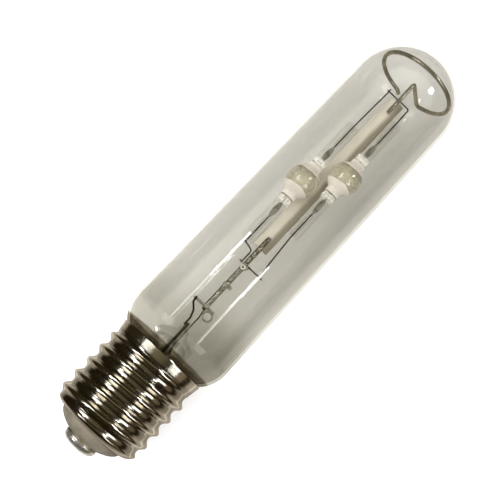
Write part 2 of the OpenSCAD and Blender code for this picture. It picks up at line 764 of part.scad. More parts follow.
module base_lead_b() {
    start = tube_b_l - foil_l1;
    knee = tube_b_l - tube_half_l - 1;
    color([0.2, 0.18, 0.16])
        in_frame()
            wire(rounded([[start, tube_b_y, tube_z], [knee, tube_b_y, tube_z],
                [low_cross_l + 2, tube_b_y - 1.5, low_cross_z + wire_d],
                [low_cross_l - 0.8, tube_b_y - 1.7, low_cross_z + wire_d]], bend_r), wire_d);
}

module dome_lead_a() {
    start = tube_a_l + foil_l1;
    knee = tube_a_l + tube_half_l + 1;
    color([0.2, 0.18, 0.16])
        in_frame()
            wire(rounded([[start, tube_a_y, tube_z], [knee, tube_a_y, tube_z],
                [top_cross_l - 2, tube_a_y - 0.5, top_cross_z + wire_r],
                [top_cross_l + 1, tube_a_y - 0.5, top_cross_z + wire_r]], bend_r), wire_d);
}

module dome_lead_b() {
    start = tube_b_l + foil_l1;
    knee = tube_b_l + tube_half_l + 1;
    cross_z = top_cross_z - wire_r;
    color([0.2, 0.18, 0.16])
        in_frame()
            wire(rounded([[start, tube_b_y, tube_z], [knee, tube_b_y, tube_z],
                [top_cross_l, tube_b_y, cross_z], [top_cross_l, tube_a_y + 0.4, cross_z]], bend_r), wire_d);
}

outer_bulb();
stem();
cap_shell();
cap_insulator();
contact_plate();
contact_solder();
cap_cement();
contact_wire();
shell_wire();
strap_wire();
return_wire();
strap();
getter_ring();
rod_clip();
wire_eye();
frame_rod();
frame_strip();
ring_support();
low_cross_wire();
insulating_bead();
link_wire();
arc_tube_a();
arc_tube_b();
end_coats_a();
end_coats_b();
foils_a();
foils_b();
electrodes_a();
electrodes_b();
base_lead_a();
base_lead_b();
dome_lead_a();
dome_lead_b();
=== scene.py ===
import bpy
import numpy as np
from mathutils import Matrix, Vector


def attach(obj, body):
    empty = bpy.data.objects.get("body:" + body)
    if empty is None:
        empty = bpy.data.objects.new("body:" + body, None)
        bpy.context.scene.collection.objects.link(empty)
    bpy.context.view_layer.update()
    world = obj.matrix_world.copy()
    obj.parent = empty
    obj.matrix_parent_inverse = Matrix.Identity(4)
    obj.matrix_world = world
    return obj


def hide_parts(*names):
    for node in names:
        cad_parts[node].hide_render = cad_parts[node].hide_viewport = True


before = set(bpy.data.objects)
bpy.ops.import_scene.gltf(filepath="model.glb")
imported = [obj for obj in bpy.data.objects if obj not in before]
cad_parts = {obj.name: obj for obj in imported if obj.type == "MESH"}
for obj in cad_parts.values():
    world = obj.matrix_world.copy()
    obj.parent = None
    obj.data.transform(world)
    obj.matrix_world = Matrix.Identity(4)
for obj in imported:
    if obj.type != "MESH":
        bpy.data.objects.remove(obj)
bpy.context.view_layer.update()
print("frame loaded")

# The lamp lies along X. Lengths are in mm from the cap's contact and are turned into metres in one place.
lamp = dict(length=212.0, axisZ=23.0, roll=np.radians(10.9))


def smoothStep(low, high, value):
    k = np.clip((value - low) / (high - low), 0, 1)
    return k * k * (3 - 2 * k)


def toWorld(l, y, z):
    # distance along the lamp and two distances from its axis become a point in metres
    return np.stack([l - lamp["length"] / 2, y, z + lamp["axisZ"]], axis=-1) / 1000


def fromFrame(points):
    # the inner frame is turned about the lamp's axis by the roll
    p = np.asarray(points, float)
    c, s = np.cos(lamp["roll"]), np.sin(lamp["roll"])
    return toWorld(p[..., 0], p[..., 1] * c - p[..., 2] * s, p[..., 1] * s + p[..., 2] * c)


def gridFaces(rows, cols, closeRows=False, closeCols=True, start=0):
    # quads between neighbouring rows, and round each row where it closes
    i = np.arange(rows if closeRows else rows - 1)[:, None]
    j = np.arange(cols if closeCols else cols - 1)[None, :]
    a = i * cols + j
    b = i * cols + (j + 1) % cols
    c = ((i + 1) % rows) * cols + (j + 1) % cols
    d = ((i + 1) % rows) * cols + j
    return start + np.stack([a, b, c, d], axis=-1).reshape(-1, 4)


def fanFaces(first, cols, pole, outward):
    j = np.arange(cols)
    k = (j + 1) % cols
    ring = [first + k, first + j] if outward else [first + j, first + k]
    return np.stack([np.full(cols, pole)] + ring, axis=-1)


def makeMesh(name, shells, node, material):
    # each shell is (points, quads, triangles), and all shells become one object at the origin
    verts, quads, tris, count = [], [], [], 0
    for points, quad, tri in shells:
        verts.append(points.reshape(-1, 3))
        quads.append(quad + count)
        tris.append(tri + count)
        count += verts[-1].shape[0]
    verts = np.concatenate(verts)
    quads = np.concatenate(quads)
    tris = np.concatenate(tris)
    mesh = bpy.data.meshes.new(name)
    mesh.vertices.add(len(verts))
    mesh.vertices.foreach_set("co", verts.astype(np.float32).ravel())
    loops = np.concatenate([quads.ravel(), tris.ravel()]).astype(np.int32)
    mesh.loops.add(len(loops))
    mesh.loops.foreach_set("vertex_index", loops)
    starts = np.concatenate([np.arange(len(quads)) * 4, len(quads) * 4 + np.arange(len(tris)) * 3])
    mesh.polygons.add(len(starts))
    mesh.polygons.foreach_set("loop_start", starts.astype(np.int32))
    mesh.polygons.foreach_set("use_smooth", np.ones(len(starts), bool))
    mesh.update(calc_edges=True)
    mesh.validate()
    piece = bpy.data.objects.new(name, mesh)
    bpy.context.scene.collection.objects.link(piece)
    mesh.materials.append(material)
    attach(piece, "root")
    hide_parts(node)
    return piece


def ringShell(points, closeRows=False, poles=(), flip=False):
    # rows of points round the lamp's axis; a pole is a single point that closes the first or the last row
    rows, cols = points.shape[:2]
    quads = gridFaces(rows, cols, closeRows)
    flat = points.reshape(-1, 3)
    tris = [np.zeros((0, 3), int)]
    for place in poles:
        row = 0 if place == "first" else rows - 1
        tip = points[row].mean(axis=0, keepdims=True)
        tris.append(fanFaces(row * cols, cols, len(flat), place == "first"))
        flat = np.concatenate([flat, tip])
    tris = np.concatenate(tris)
    if flip:
        quads, tris = quads[:, ::-1], tris[:, ::-1]
    return flat, quads, tris


def turnedRows(profile, cols):
    # each profile point (distance, radius) becomes a circle about the lamp's axis
    profile = np.asarray(profile, float)
    a = np.linspace(0, 2 * np.pi, cols, endpoint=False)[None, :]
    l = profile[:, :1] + 0 * a
    return toWorld(l, profile[:, 1:] * np.sin(a), profile[:, 1:] * np.cos(a))


def arcPoints(l, r, radius, start, stop, count):
    # points on a circle about (l, r), its angle counted from the outward direction towards the dome
    a = np.radians(np.linspace(start, stop, count))
    return np.stack([l + radius * np.sin(a), r + radius * np.cos(a)], axis=1)


def roundedPath(corners, radius, steps=7):
    # each inner corner is replaced by a round bend that touches both of its runs
    p = np.asarray(corners, float)
    out = [p[:1]]
    for a, b, c in zip(p[:-2], p[1:-1], p[2:]):
        u, w = (a - b) / np.linalg.norm(a - b), (c - b) / np.linalg.norm(c - b)
        half = np.arccos(np.clip(u @ w, -1, 1)) / 2
        cut = radius / np.tan(half)
        middle = b + (u + w) / np.linalg.norm(u + w) * radius / np.sin(half)
        e0 = (b + u * cut - middle) / radius
        e1 = (b + w * cut - middle) / radius
        e1 = e1 - e0 * (e1 @ e0)
        e1 = e1 / np.linalg.norm(e1)
        sweep = np.linspace(0, np.pi - 2 * half, steps)[:, None]
        out.append(middle + radius * (np.cos(sweep) * e0 + np.sin(sweep) * e1))
    out.append(p[-1:])
    return np.concatenate(out)


def densePath(path, step):
    # the same path with points at even distances
    run = np.concatenate([[0], np.cumsum(np.linalg.norm(np.diff(path, axis=0), axis=1))])
    at = np.linspace(0, run[-1], max(2, int(run[-1] / step)))
    at = np.unique(np.concatenate([at, run]).round(4))
    return np.stack([np.interp(at, run, path[:, k]) for k in range(3)], axis=1)


def wireShell(path, diameter, sides=18, step=0.8):
    # a circle is carried along the path; its first direction is turned as little as possible
    p = densePath(np.asarray(path, float), step)
    t = np.gradient(p, axis=0)
    t = t / np.linalg.norm(t, axis=1, keepdims=True)
    n = np.zeros_like(t)
    seed = np.array([0, 0, 1.0]) if abs(t[0, 2]) < 0.8 else np.array([0, 1.0, 0])
    for i, direction in enumerate(t):
        seed = seed - direction * (seed @ direction)
        seed = seed / np.linalg.norm(seed)
        n[i] = seed
    b = np.cross(t, n)
    a = np.linspace(0, 2 * np.pi, sides, endpoint=False)[None, :, None]
    # the ends are rounded over a quarter of the diameter
    run = np.concatenate([[0], np.cumsum(np.linalg.norm(np.diff(p, axis=0), axis=1))])
    edge = np.minimum(run, run[-1] - run)
    r = diameter / 2 * np.sqrt(np.clip(1 - np.square(np.clip(1 - edge / (diameter / 4), 0, 0.6)), 0, 1))
    rows = p[:, None, :] + r[:, None, None] * (np.cos(a) * n[:, None, :] + np.sin(a) * b[:, None, :])
    return ringShell(fromFrame(rows), poles=("first", "last"))


# Shader graphs: a Field wraps one output socket, and its operators add Math nodes.
class Field:
    def __init__(self, graph, socket):
        self.graph = graph
        self.socket = socket

    def math(self, operation, *others, clamp=False):
        return self.graph.add("Math", dict(enumerate((self,) + others)), operation=operation, use_clamp=clamp)

    def __add__(self, other):
        return self.math("ADD", other)

    def __sub__(self, other):
        return self.math("SUBTRACT", other)

    def __rsub__(self, other):
        return self.graph.add("Math", {0: other, 1: self}, operation="SUBTRACT")

    def __mul__(self, other):
        return self.math("MULTIPLY", other)

    def __truediv__(self, other):
        return self.math("DIVIDE", other)

    def __pow__(self, other):
        return self.math("POWER", other)

    __radd__ = __add__
    __rmul__ = __mul__

    def ramp(self, low, high, start=0.0, stop=1.0):
        ends = {0: self, 1: low, 2: high, 3: start, 4: stop}
        return self.graph.add("MapRange", ends, interpolation_type="SMOOTHSTEP")


class Graph:
    def __init__(self, name):
        self.material = bpy.data.materials.new(name)
        self.material.use_nodes = True
        self.tree = self.material.node_tree
        self.tree.nodes.clear()
        self.where = self.add("TexCoord", output="Object")
        axes = self.split(self.where)
        # distance along the lamp in mm, and the angle about its axis in turns
        self.along = axes[0] * 1000 + lamp["length"] / 2
        self.up = axes[2] * 1000 - lamp["axisZ"]
        self.side = axes[1] * 1000
        self.turn = self.up.math("ARCTAN2", self.side) / (2 * np.pi)

    def add(self, kind, inputs=None, output=0, **settings):
        node = self.tree.nodes.new("ShaderNode" + kind)
        for key, value in settings.items():
            setattr(node, key, value)
        for key, value in (inputs or {}).items():
            if isinstance(value, Field):
                self.tree.links.new(value.socket, node.inputs[key])
            else:
                node.inputs[key].default_value = value
        return Field(self, node.outputs[output])

    def split(self, vector):
        node = self.tree.nodes.new("ShaderNodeSeparateXYZ")
        self.tree.links.new(vector.socket, node.inputs[0])
        return [Field(self, socket) for socket in node.outputs]

    def join(self, x, y, z):
        return self.add("CombineXYZ", {0: x, 1: y, 2: z})

    def noise(self, scale, detail=3.0, roughness=0.55, vector=None, distortion=0.0):
        inputs = {"Vector": vector or self.where, "Scale": scale, "Detail": detail, "Roughness": roughness,
                  "Distortion": distortion}
        return self.add("TexNoise", inputs)

    def mix(self, factor, a, b):
        a = a if isinstance(a, Field) else (*a, 1)
        b = b if isinstance(b, Field) else (*b, 1)
        return self.add("Mix", {0: factor, 6: a, 7: b}, output=2, data_type="RGBA")

    def bump(self, height, strength, distance=0.0002):
        return self.add("Bump", {"Strength": strength, "Distance": distance, "Height": height})

    def principled(self, **inputs):
        names = {key.replace("_", " "): value for key, value in inputs.items()}
        names = {k: (*v, 1) if isinstance(v, tuple) and len(v) == 3 else v for k, v in names.items()}
        return self.add("BsdfPrincipled", names)

    def blend(self, factor, a, b):
        return self.add("MixShader", {0: factor, 1: a, 2: b})

    def out(self, shader):
        node = self.tree.nodes.new("ShaderNodeOutputMaterial")
        self.tree.links.new(shader.socket, node.inputs[0])
        return self.material


def nickelCap():
    g = Graph("capNickel")
    # rolling marks run round the cap, so the noise is stretched along its angle
    marks = g.noise(1.0, 4, 0.6, g.join(g.along * 5, g.turn * 9, 0.0))
    cloud = g.noise(110, 4, 0.6)
    speck = g.noise(900, 2, 0.5).ramp(0.62, 0.72)
    stain = cloud.ramp(0.48, 0.68)
    base = g.mix(stain * 0.55, (0.6, 0.57, 0.5), (0.47, 0.42, 0.33))
    base = g.mix(speck * 0.4, base, (0.36, 0.31, 0.24))
    # painted shade: the roots of the thread and the end rolled over the insulator are darkened, in place of the dark
    # reflections in these hollows and on the rim
    radius = (g.up * g.up + g.side * g.side) ** 0.5 + cloud * 0.3
    root = radius.ramp(18.2, 19.4, 0.5, 0) * g.along.ramp(42.6, 43.4, 1, 0)
    base = g.mix(root.math("MAXIMUM", g.along.ramp(9.2, 10.8, 0.6, 0)), base, (0.13, 0.11, 0.08))
    rough = 0.1 + marks * 0.09 + stain * 0.08 + speck * 0.15
    bump = g.bump(marks * 0.6 + cloud * 0.8, 0.22, 0.00012)
    return g.out(g.principled(Base_Color=base, Metallic=1.0, Roughness=rough, Normal=bump))


def wireMetal(name, light, dark, rough, metallic=1.0):
    g = Graph(name)
    # drawing marks run along the wire, heat tint comes and goes in patches
    marks = g.noise(1.0, 3, 0.6, g.join(g.along * 0.5, g.side * 9, g.up * 9))
    patch = g.noise(330, 3, 0.6).ramp(0.38, 0.66)
    base = g.mix(patch, light, dark)
    base = g.mix(marks.ramp(0.5, 0.75) * 0.35, base, dark)
    bump = g.bump(marks, 0.25, 0.00006)
    shader = g.principled(Base_Color=base, Metallic=metallic, Roughness=rough + marks * 0.18, Normal=bump)
    return g.out(shader)


def stripMetal():
    g = Graph("stripSteel")
    marks = g.noise(1.0, 3, 0.6, g.join(g.along * 0.12, g.side * 2, g.up * 2))
    patch = g.noise(160, 3, 0.6)
    # painted shade: the long edge on the -Y side is coloured olive brown as if turned away from the light, the other
    # edge stays light
    shadedEdge = (g.side + patch * 1.2).ramp(1.3, -0.7)
    base = g.mix(shadedEdge, (0.9, 0.86, 0.77), (0.42, 0.38, 0.3))
    base = g.mix(marks.ramp(0.45, 0.8) * 0.3, base, (0.4, 0.36, 0.29))
    bump = g.bump(marks, 0.25, 0.00008)
    return g.out(g.principled(Base_Color=base, Metallic=0.38, Roughness=0.4 + marks * 0.18, Normal=bump))


def thinGlass(name, tint, edgeTint, ior, gloss, waves, waveScale, mirrorMost, shoulderShade=None):
    g = Graph(name)
    wave = g.noise(waveScale, 2, 0.5)
    bump = g.bump(wave, waves, 0.0004)
    through = g.add("BsdfTransparent", {0: (*tint, 1)})
    edge = g.add("BsdfTransparent", {0: (*edgeTint, 1)})
    facing = g.add("LayerWeight", {"Blend": 0.28}, output="Facing")
    body = g.blend(facing ** 2.0, through, edge)
    if shoulderShade:
        # painted shadow: a grey darkening on the shoulder, thickest on the lower side of the neck, stands in for the
        # cap's shadow on the floor seen through the glass
        cloud = g.noise(45, 2, 0.5)
        shoulderShadow = g.add("BsdfTransparent", {0: (0.74, 0.73, 0.69, 1)})
        reach = (g.along + cloud * 10).ramp(62, 84, 1, 0)
        body = g.blend(reach * g.side.ramp(-16, 4, 0.9, 0.42), body, shoulderShadow)
        # painted shade: from the cap up to about 50 mm the glass is made dark, in place of the dark band that
        # refraction makes beside the seal
        bandNoise = g.noise(160, 2, 0.5) * 0.5
        dark = g.add("BsdfTransparent", {0: (0.42, 0.385, 0.32, 1)})
        body = g.blend((g.along + bandNoise).ramp(shoulderShade[0], shoulderShade[1], 0.85, 0), body, dark)
    shine = g.add("BsdfGlossy", {"Roughness": gloss, "Normal": bump})
    mirror = g.add("Fresnel", {"IOR": ior, "Normal": bump}).math("MINIMUM", mirrorMost)
    if shoulderShade:
        # the shoulder that the flame has worked is duller than the tube
        mirror = mirror * g.along.ramp(56.4, 57.6, 0.3, 1)
    dust = g.noise(700, 2, 0.6).ramp(0.66, 0.8) * 0.05
    haze = g.principled(Base_Color=(0.8, 0.79, 0.76), Roughness=0.6)
    return g.out(g.blend(dust, g.blend(mirror, body, shine), haze))


def quartzFill(name, middle):
    g = Graph(name)
    away = (g.along - middle).math("ABSOLUTE")
    # salts on the wall of the ball make it cloudy in patches, and beside each foil a white painted highlight stands in
    # for the glints in the thick glass
    cloud = g.noise(420, 4, 0.6, distortion=0.6)
    bump = g.bump(g.noise(240, 2), 0.06, 0.0004)
    colour = g.mix(cloud.ramp(0.35, 0.7), (0.86, 0.83, 0.66), (0.77, 0.74, 0.56))
    wall = g.principled(Base_Color=colour, Roughness=0.25 + cloud * 0.3, Normal=bump)
    sealHighlight = g.principled(Base_Color=(0.93, 0.92, 0.88), Roughness=0.12, Normal=bump)
    through = g.add("BsdfTransparent", {0: (0.985, 0.985, 0.975, 1)})
    # the blown ball shines more than the pressed ends
    mirror = g.add("Fresnel", {"IOR": 2.0, "Normal": bump}).math("MINIMUM", 0.3) * away.ramp(7, 12, 1, 0.3)
    clear = g.blend(mirror, through, g.add("BsdfGlossy", {"Roughness": 0.03, "Normal": bump}))
    body = g.blend(away.ramp(5.5, 7.5, 1, 0) * (0.22 + cloud.ramp(0.3, 0.8) * 0.2), clear, wall)
    flecks = g.noise(700, 3, 0.6, distortion=1.2).ramp(0.38, 0.62)
    # the painted highlight beside each foil is broken up by flecks
    return g.out(g.blend(away.ramp(8.6, 9.6) * away.ramp(10.8, 13.0, 0.3, 0) * (1 + flecks * 1.6), body, sealHighlight))


def whiteCoat():
    g = Graph("whiteCoat")
    cloud = g.noise(300, 4, 0.65)
    grain = g.noise(2600, 2, 0.6)
    colour = g.mix(cloud.ramp(0.35, 0.72), (0.77, 0.73, 0.69), (0.67, 0.62, 0.57))
    bump = g.bump(grain + cloud * 2, 0.35, 0.0001)
    return g.out(g.principled(Base_Color=colour, Roughness=0.75 + grain * 0.15, Normal=bump))


def insulatorGlass():
    g = Graph("insulatorGlass")
    cloud = g.noise(170, 4, 0.6)
    pits = g.noise(1500, 2, 0.5).ramp(0.64, 0.76)
    colour = g.mix(cloud.ramp(0.35, 0.68), (0.146, 0.126, 0.092), (0.1, 0.087, 0.062))
    colour = g.mix(pits * 0.5, colour, (0.16, 0.14, 0.12))
    bump = g.bump(cloud * 2 - pits * 0.6, 0.3, 0.00015)
    return g.out(g.principled(Base_Color=colour, Roughness=0.42 + cloud * 0.2, Normal=bump))


def solderMetal():
    g = Graph("solderMetal")
    cloud = g.noise(420, 3, 0.55)
    scratch = g.noise(1.0, 3, 0.6, g.join(g.along * 0.8, g.side * 5, g.up * 1.4))
    colour = g.mix(cloud.ramp(0.4, 0.7), (0.86, 0.86, 0.84), (0.62, 0.61, 0.57))
    bump = g.bump(cloud * 1.5 + scratch * 0.5, 0.3, 0.0002)
    return g.out(g.principled(Base_Color=colour, Metallic=0.94, Roughness=0.18 + scratch * 0.14, Normal=bump))


def plainSolid(name, light, dark, rough, scale, metallic=0.0):
    g = Graph(name)
    cloud = g.noise(scale, 4, 0.6)
    colour = g.mix(cloud.ramp(0.35, 0.7), light, dark)
    bump = g.bump(cloud, 0.3, 0.0001)
    return g.out(g.principled(Base_Color=colour, Metallic=metallic, Roughness=rough + cloud * 0.2, Normal=bump))


looks = dict(
    capNickel=nickelCap(),
    capInsulator=insulatorGlass(),
    solder=solderMetal(),
    plate=plainSolid("plateBrass", (0.4, 0.35, 0.26), (0.27, 0.23, 0.16), 0.4, 300, 1.0),
    cement=plainSolid("capCement", (0.78, 0.74, 0.66), (0.6, 0.55, 0.47), 0.8, 500),
    bulbGlass=thinGlass("bulbGlass", (0.87, 0.865, 0.845), (0.965, 0.962, 0.95), 1.45, 0.0, 0.03, 30, 0.16,
                        shoulderShade=(49.1, 49.9)),
    stemGlass=thinGlass("stemGlass", (0.99, 0.99, 0.98), (0.93, 0.93, 0.91), 1.5, 0.01, 0.5, 240, 0.2),
    beadGlass=plainSolid("beadGlass", (0.8, 0.8, 0.76), (0.62, 0.62, 0.58), 0.12, 800),
    darkWire=wireMetal("darkWire", (0.16, 0.14, 0.12), (0.05, 0.042, 0.036), 0.32),
    brightWire=wireMetal("brightWire", (0.62, 0.6, 0.55), (0.36, 0.34, 0.3), 0.25),
    steelWire=wireMetal("steelWire", (0.42, 0.39, 0.34), (0.2, 0.18, 0.15), 0.28),
    rodChrome=wireMetal("rodChrome", (0.8, 0.78, 0.72), (0.6, 0.58, 0.52), 0.16),
    getter=plainSolid("getterMetal", (0.6, 0.58, 0.52), (0.3, 0.28, 0.24), 0.22, 900, 0.7),
    eye=plainSolid("eyeNickel", (0.92, 0.9, 0.84), (0.72, 0.7, 0.64), 0.2, 900, 0.35),
    frameSteel=wireMetal("frameSteel", (0.68, 0.64, 0.54), (0.44, 0.41, 0.33), 0.14, 0.78),
    stripSteel=stripMetal(),
    foil=wireMetal("foilMetal", (0.34, 0.325, 0.29), (0.16, 0.15, 0.13), 0.35, 0.4),
    tungsten=wireMetal("tungsten", (0.3, 0.29, 0.28), (0.14, 0.13, 0.13), 0.4),
    quartzA=quartzFill("quartzA", 132.6),
    quartzB=quartzFill("quartzB", 145.7),
    whiteCoat=whiteCoat(),
)
print("materials made")

# Screw cap: one closed skin whose radius is the thread's height above its root, held under the rounded end.
cap = dict(crestR=19.65, depth=1.85, pitch=6.35, form=1.5, wall=0.45, rimL=8.7, rimR=14.0, firstCrest=13.9,
           threadEnd=42.0, skirtEnd=46.2, skirtR0=18.4, skirtR1=19.1, skirtRise=0.8, runOut=3.0, step=0.2, cols=220)


def capRadius(l, turn, inset):
    root = cap["crestR"] - cap["depth"]
    rise = cap["crestR"] - cap["rimR"]
    # the crest's angle grows by one turn over each pitch, and the thread runs out before the skirt
    crest = np.pi / 2 + lamp["roll"] + 2 * np.pi * (l - cap["firstCrest"]) / cap["pitch"]
    height = cap["depth"] * np.clip((cap["threadEnd"] + 0.5 - l) / cap["runOut"], 0, 1)
    thread = root + height * ((1 + np.cos(turn - crest)) / 2) ** cap["form"]
    below = root + (cap["skirtR0"] - root) * np.clip((l - cap["threadEnd"]) / cap["skirtRise"] + 1, 0, 1)
    flare = np.clip((l - cap["threadEnd"]) / (cap["skirtEnd"] - cap["threadEnd"]), 0, 1)
    skirt = below + (cap["skirtR1"] - cap["skirtR0"]) * flare
    body = np.maximum(thread, skirt) - inset
    reach = np.square(rise - inset) - np.square(np.minimum(l - cap["rimL"] - rise, 0))
    end = cap["rimR"] + np.sqrt(np.maximum(reach, 0))
    return np.minimum(body, np.where(l < cap["rimL"] + rise, end, 99))


def capRings(inset):
    rise = cap["crestR"] - cap["rimR"] - inset
    middle = cap["rimL"] + rise + inset
    low = middle - rise * np.cos(np.radians(np.linspace(0, 72, 16)))
    thread = np.arange(low[-1] + cap["step"], cap["threadEnd"], cap["step"])
    return np.concatenate([low, thread, np.linspace(cap["threadEnd"], cap["skirtEnd"], 8)])


outer, inner = capRings(0), capRings(cap["wall"])[::-1]
distance = np.concatenate([outer, [cap["skirtEnd"]], inner])[:, None]
inset = np.concatenate([0 * outer, [cap["wall"] / 2], 0 * inner + cap["wall"]])[:, None]
angle = np.linspace(0, 2 * np.pi, cap["cols"], endpoint=False)[None, :]
radius = capRadius(distance, angle, inset)
capRows = toWorld(distance + 0 * angle, radius * np.sin(angle), -radius * np.cos(angle))
makeMesh("capShell", [ringShell(capRows, closeRows=True, flip=True)],
         "cap_shell", looks["capNickel"])
print("cap shell made")

# Insulator: its nose swells from the plate to the shell's edge, behind it the flange inside the shell.
insulator = dict(start=3.9, startR=7.1, edge=8.7, edgeR=13.9, seatL=14.35, seatR=5.1, seatEnd=-66.9,
                 flangeR=16.0, flangeT=2.2, poleR=1.0, cols=160)
k = np.linspace(0, 1, 26)
noseL = insulator["start"] + (insulator["edge"] - insulator["start"]) * k
noseR = insulator["startR"] + (insulator["edgeR"] - insulator["startR"]) * np.sin(np.pi / 2 * k) ** 0.8
behind = arcPoints(insulator["seatL"], cap["rimR"], insulator["seatR"], -90, insulator["seatEnd"], 10)
backL = behind[-1, 0] + insulator["flangeT"]
profile = np.concatenate([[[insulator["start"], insulator["poleR"]]], np.stack([noseL, noseR], axis=1), behind,
                          [[backL, insulator["flangeR"]], [backL, insulator["poleR"]]]])
makeMesh("capInsulator", [ringShell(turnedRows(profile, insulator["cols"]), poles=("first", "last"))],
         "cap_insulator", looks["capInsulator"])

# Solder dome: a flat spot and a round shoulder.
solder = dict(flatR=2.2, edgeR=7.1, height=3.2, poleR=0.6, cols=120)
a = np.linspace(0, np.pi / 2, 30)
swell = solder["flatR"] + (solder["edgeR"] - solder["flatR"]) * np.sin(a) ** 0.9
profile = np.stack([solder["height"] * (1 - np.cos(a) ** 0.8), swell], axis=1)
profile = np.concatenate([[[0.0, solder["poleR"]]], profile, [[solder["height"], solder["poleR"]]]])
rows = turnedRows(profile, solder["cols"])
makeMesh("contactSolder", [ringShell(rows, poles=("first", "last"))],
         "contact_solder", looks["solder"])

# Outer bulb: an outer skin from the tip to the seal and an inner one back, both turned about the axis.
bulb = dict(r=23.0, wall=1.05, shoulderR=15.0, shoulderL=57.0, neckR=16.5, sealL=22.0, cols=200)


def bulbProfile(inset):
    neck = bulb["neckR"] - inset
    low = bulb["shoulderR"] - inset
    drop = np.degrees(np.arccos((neck - bulb["r"] + bulb["shoulderR"]) / low))
    dome = arcPoints(lamp["length"] - bulb["r"], 0, bulb["r"] - inset, 89.2, 0, 60)
    tube = np.stack([np.linspace(185, 60, 40), np.full(40, bulb["r"] - inset)], axis=1)
    shoulder = arcPoints(bulb["shoulderL"], bulb["r"] - bulb["shoulderR"], low, 0, -drop, 24)
    neckRun = np.stack([np.linspace(shoulder[-1, 0] - 1, bulb["sealL"], 14), np.full(14, neck)], axis=1)
    return np.concatenate([dome, tube, shoulder, neckRun])


outerSkin = turnedRows(bulbProfile(0), bulb["cols"])
innerSkin = turnedRows(bulbProfile(bulb["wall"])[::-1], bulb["cols"])
skin = np.concatenate([outerSkin, innerSkin])
makeMesh("outerBulb", [ringShell(skin, poles=("first", "last"), flip=True)],
         "outer_bulb", looks["bulbGlass"])
print("bulb made")

# Stem: a flare, a tube and the press, its section going from a circle to a flat superellipse.
stem = dict(r=8.3, wall=1.1, tubeL=53.9, pressL=57.4, topL=59.4, pressW=6.5, pressT=2.1, round=1.2,
            pressAngle=np.radians(90 + 80) + lamp["roll"], domeL=50.5, domeH=3.4,
            exhaustR=2.4, exhaustTip=20.0, exhaustEnd=53.4, cols=120)


def section(width, thickness, power, angle):
    # superellipse: the power goes from 1 for an ellipse to less for a flat bar with round edges
    u = width * np.sign(np.cos(angle)) * np.abs(np.cos(angle)) ** power
    v = thickness * np.sign(np.sin(angle)) * np.abs(np.sin(angle)) ** power
    return u, v


flareR = bulb["neckR"] - bulb["wall"] - 0.05 - stem["r"]
flare = arcPoints(bulb["sealL"] + flareR, stem["r"] + flareR, flareR, -180, -90, 16)
flareIn = arcPoints(bulb["sealL"] + flareR, stem["r"] + flareR, flareR + stem["wall"], -180, -90, 16)
run = np.linspace(bulb["sealL"] + flareR + 1, stem["topL"], 90)
closing = np.clip((run - stem["topL"] + stem["round"]) / stem["round"], 0, 0.97)
closing = np.sqrt(np.clip(1 - np.square(closing), 0, 1))
squeeze = smoothStep(stem["tubeL"], stem["pressL"], run)
width = (stem["r"] + (stem["pressW"] - stem["r"]) * squeeze) * (0.55 + 0.45 * closing)
thick = (stem["r"] + (stem["pressT"] - stem["r"]) * squeeze ** 0.8) * closing
a = np.linspace(0, 2 * np.pi, stem["cols"], endpoint=False)[None, :]
u, v = section(width[:, None], thick[:, None], 1 - 0.45 * squeeze[:, None], a)
c, s = np.cos(stem["pressAngle"]), np.sin(stem["pressAngle"])
stemTop = toWorld(run[:, None] + 0 * a, u * s + v * c, -(u * c - v * s))
# the rows below the press start at the same angle as its sections
turnBack = a + stem["pressAngle"]
bore = stem["r"] - stem["wall"]
domeTurn = np.linspace(0, 1.5, 12)
domeRise = stem["domeL"] + stem["domeH"] * np.sin(domeTurn)
lining = np.concatenate([[[bulb["sealL"] - bulb["wall"], bulb["neckR"]]], flareIn,
                         np.stack([np.linspace(30, 50, 12), np.full(12, bore)], axis=1),
                         np.stack([domeRise, bore * np.cos(domeTurn)], axis=1)])
below = np.concatenate([lining[::-1], [[bulb["sealL"], bulb["neckR"]]], flare])
belowRows = toWorld(below[:, :1] + 0 * a, below[:, 1:] * np.sin(turnBack), -below[:, 1:] * np.cos(turnBack))
whole = np.concatenate([belowRows, stemTop])
tipTurn = np.linspace(0.05, np.pi / 2, 10)
tipL = stem["exhaustTip"] + stem["exhaustR"] * (1 - np.cos(tipTurn))
exhaustBore = stem["exhaustR"] - stem["wall"]
exhaust = np.concatenate([np.stack([tipL, stem["exhaustR"] * np.sin(tipTurn)], axis=1),
                          [[30, stem["exhaustR"]], [45, stem["exhaustR"]], [stem["exhaustEnd"], stem["exhaustR"]],
                           [stem["exhaustEnd"], exhaustBore], [30, exhaustBore], [24, 0.4]]])
makeMesh("stemGlass", [ringShell(whole, poles=("first", "last")),
                       ringShell(turnedRows(exhaust, 60), poles=("first", "last"))],
         "stem", looks["stemGlass"])
print("stem made")

# Arc tubes: a ball that runs out into flat seals, its section going from a circle to a flat superellipse.
tube = dict(ballR=6.6, ballHalf=7.2, half=32.0, sealW=2.9, sealT=1.7, coatEnd=9.0, window=3.8, bore=1.2,
            voidHalf=6.2, voidR=5.6, z=4.9, cols=72, places=dict(a=(132.6, 6.5), b=(145.7, -5.3)))
foil = dict(start=11.55, stop=19.75, half=1.18, t=0.055, wave=0.03)


